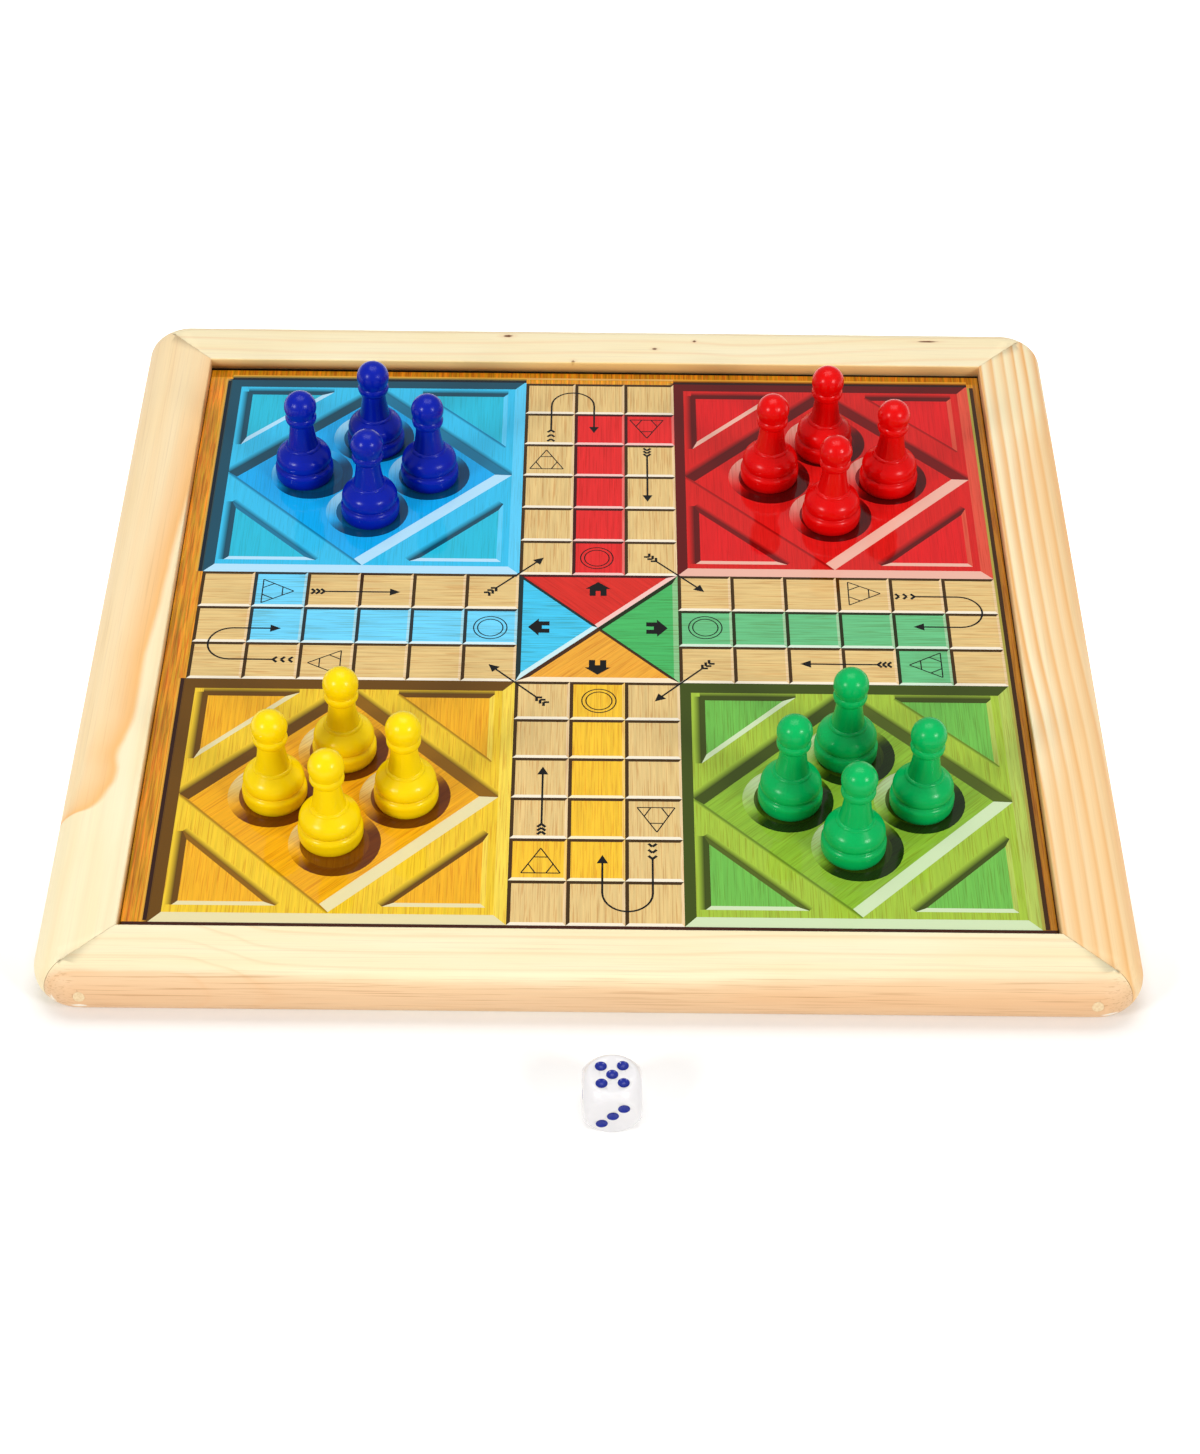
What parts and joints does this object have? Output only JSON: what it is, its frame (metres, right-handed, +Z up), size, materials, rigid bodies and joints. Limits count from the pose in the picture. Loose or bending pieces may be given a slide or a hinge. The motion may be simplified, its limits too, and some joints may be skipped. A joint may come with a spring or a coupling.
{
  "type": "chess and ludo board",
  "caption": "Square reversible game board with a mitred pine frame, a ludo print above and chess squares below, pawns standing in their coloured yards and a die beside it.",
  "frame": {"origin": "on the table, in the middle of the footprint that the board and the die take up together; the board's own centre is 19.5 mm behind it", "axes": "+Z up, out of the ludo face; -Y towards the player in front, where the die lies; +X to that player's right"},
  "size_m": [0.305, 0.3442, 0.0423],
  "materials": {
    "pine": "planed and sanded pine under a thin clear lacquer",
    "pin_steel": "drawn bright steel",
    "wood_putty": "sanded pale wood putty",
    "fibreboard": "plain medium-density fibreboard",
    "ludo_print": "colour print under glossy laminate",
    "chess_print": "colour print under glossy laminate",
    "pawn_blue": "moulded, glossy",
    "pawn_red": "moulded, glossy",
    "pawn_yellow": "moulded, glossy",
    "pawn_green": "moulded, glossy",
    "die_white": "moulded, glossy, rounded",
    "pip_blue": "paint in the dimples"
  },
  "bodies": {
    "board": {"rail_front": "pine", "rail_right": "pine", "rail_back": "pine", "rail_left": "pine", "corner_pins": "pin_steel", "pin_fillers": "wood_putty", "panel_core": "fibreboard", "ludo_sheet": "ludo_print", "chess_sheet": "chess_print"},
    "pawn_blue_left": {"pawn_blue_left": "pawn_blue"},
    "pawn_blue_right": {"pawn_blue_right": "pawn_blue"},
    "pawn_blue_back": {"pawn_blue_back": "pawn_blue"},
    "pawn_blue_front": {"pawn_blue_front": "pawn_blue"},
    "pawn_red_left": {"pawn_red_left": "pawn_red"},
    "pawn_red_right": {"pawn_red_right": "pawn_red"},
    "pawn_red_back": {"pawn_red_back": "pawn_red"},
    "pawn_red_front": {"pawn_red_front": "pawn_red"},
    "pawn_yellow_left": {"pawn_yellow_left": "pawn_yellow"},
    "pawn_yellow_right": {"pawn_yellow_right": "pawn_yellow"},
    "pawn_yellow_back": {"pawn_yellow_back": "pawn_yellow"},
    "pawn_yellow_front": {"pawn_yellow_front": "pawn_yellow"},
    "pawn_green_left": {"pawn_green_left": "pawn_green"},
    "pawn_green_right": {"pawn_green_right": "pawn_green"},
    "pawn_green_back": {"pawn_green_back": "pawn_green"},
    "pawn_green_front": {"pawn_green_front": "pawn_green"},
    "die": {"die_body": "die_white", "die_pips": "pip_blue"}
  },
  "joints": [
    {"name": "pawn_blue_left_lift", "type": "slide", "parent": "board", "child": "pawn_blue_left", "axis": [0, 0, 1], "range_m": [0, 0.06]},
    {"name": "pawn_blue_right_lift", "type": "slide", "parent": "board", "child": "pawn_blue_right", "axis": [0, 0, 1], "range_m": [0, 0.06]},
    {"name": "pawn_blue_back_lift", "type": "slide", "parent": "board", "child": "pawn_blue_back", "axis": [0, 0, 1], "range_m": [0, 0.06]},
    {"name": "pawn_blue_front_lift", "type": "slide", "parent": "board", "child": "pawn_blue_front", "axis": [0, 0, 1], "range_m": [0, 0.06]},
    {"name": "pawn_red_left_lift", "type": "slide", "parent": "board", "child": "pawn_red_left", "axis": [0, 0, 1], "range_m": [0, 0.06]},
    {"name": "pawn_red_right_lift", "type": "slide", "parent": "board", "child": "pawn_red_right", "axis": [0, 0, 1], "range_m": [0, 0.06]},
    {"name": "pawn_red_back_lift", "type": "slide", "parent": "board", "child": "pawn_red_back", "axis": [0, 0, 1], "range_m": [0, 0.06]},
    {"name": "pawn_red_front_lift", "type": "slide", "parent": "board", "child": "pawn_red_front", "axis": [0, 0, 1], "range_m": [0, 0.06]},
    {"name": "pawn_yellow_left_lift", "type": "slide", "parent": "board", "child": "pawn_yellow_left", "axis": [0, 0, 1], "range_m": [0, 0.06]},
    {"name": "pawn_yellow_right_lift", "type": "slide", "parent": "board", "child": "pawn_yellow_right", "axis": [0, 0, 1], "range_m": [0, 0.06]},
    {"name": "pawn_yellow_back_lift", "type": "slide", "parent": "board", "child": "pawn_yellow_back", "axis": [0, 0, 1], "range_m": [0, 0.06]},
    {"name": "pawn_yellow_front_lift", "type": "slide", "parent": "board", "child": "pawn_yellow_front", "axis": [0, 0, 1], "range_m": [0, 0.06]},
    {"name": "pawn_green_left_lift", "type": "slide", "parent": "board", "child": "pawn_green_left", "axis": [0, 0, 1], "range_m": [0, 0.06]},
    {"name": "pawn_green_right_lift", "type": "slide", "parent": "board", "child": "pawn_green_right", "axis": [0, 0, 1], "range_m": [0, 0.06]},
    {"name": "pawn_green_back_lift", "type": "slide", "parent": "board", "child": "pawn_green_back", "axis": [0, 0, 1], "range_m": [0, 0.06]},
    {"name": "pawn_green_front_lift", "type": "slide", "parent": "board", "child": "pawn_green_front", "axis": [0, 0, 1], "range_m": [0, 0.06]},
    {"name": "die_lift", "type": "slide", "parent": "board", "child": "die", "axis": [0, 0, 1], "range_m": [0, 0.06]}
  ]
}
